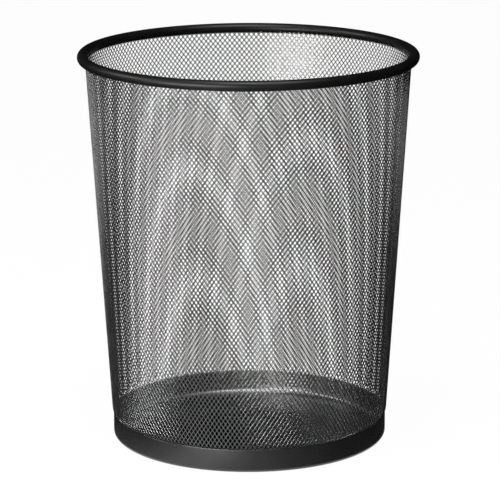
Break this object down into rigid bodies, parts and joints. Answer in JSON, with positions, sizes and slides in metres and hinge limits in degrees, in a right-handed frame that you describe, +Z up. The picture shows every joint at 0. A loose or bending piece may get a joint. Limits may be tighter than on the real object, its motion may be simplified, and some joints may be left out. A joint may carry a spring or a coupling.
{
  "type": "wastebasket",
  "caption": "Round tapered wastebasket with an open diamond-mesh wall, a rolled rim and a solid base pan; stands free on the floor and holds dry waste",
  "frame": {"origin": "middle of the underside, on the plane of the face that the basket stands on", "axes": "+Z up along the basket's round axis, -Y towards the viewer in the picture, +X to the viewer's right"},
  "size_m": [0.295, 0.295, 0.3425],
  "materials": {
    "pan_paint": "satin black baked enamel on drawn sheet steel",
    "mesh_paint": "satin black baked enamel, rounded over the edges of the strands",
    "rim_paint": "glossy black baked enamel on a rolled steel tube"
  },
  "bodies": {
    "root": {"base_pan": "pan_paint", "mesh_wall": "mesh_paint", "rim": "rim_paint"}
  },
  "joints": []
}
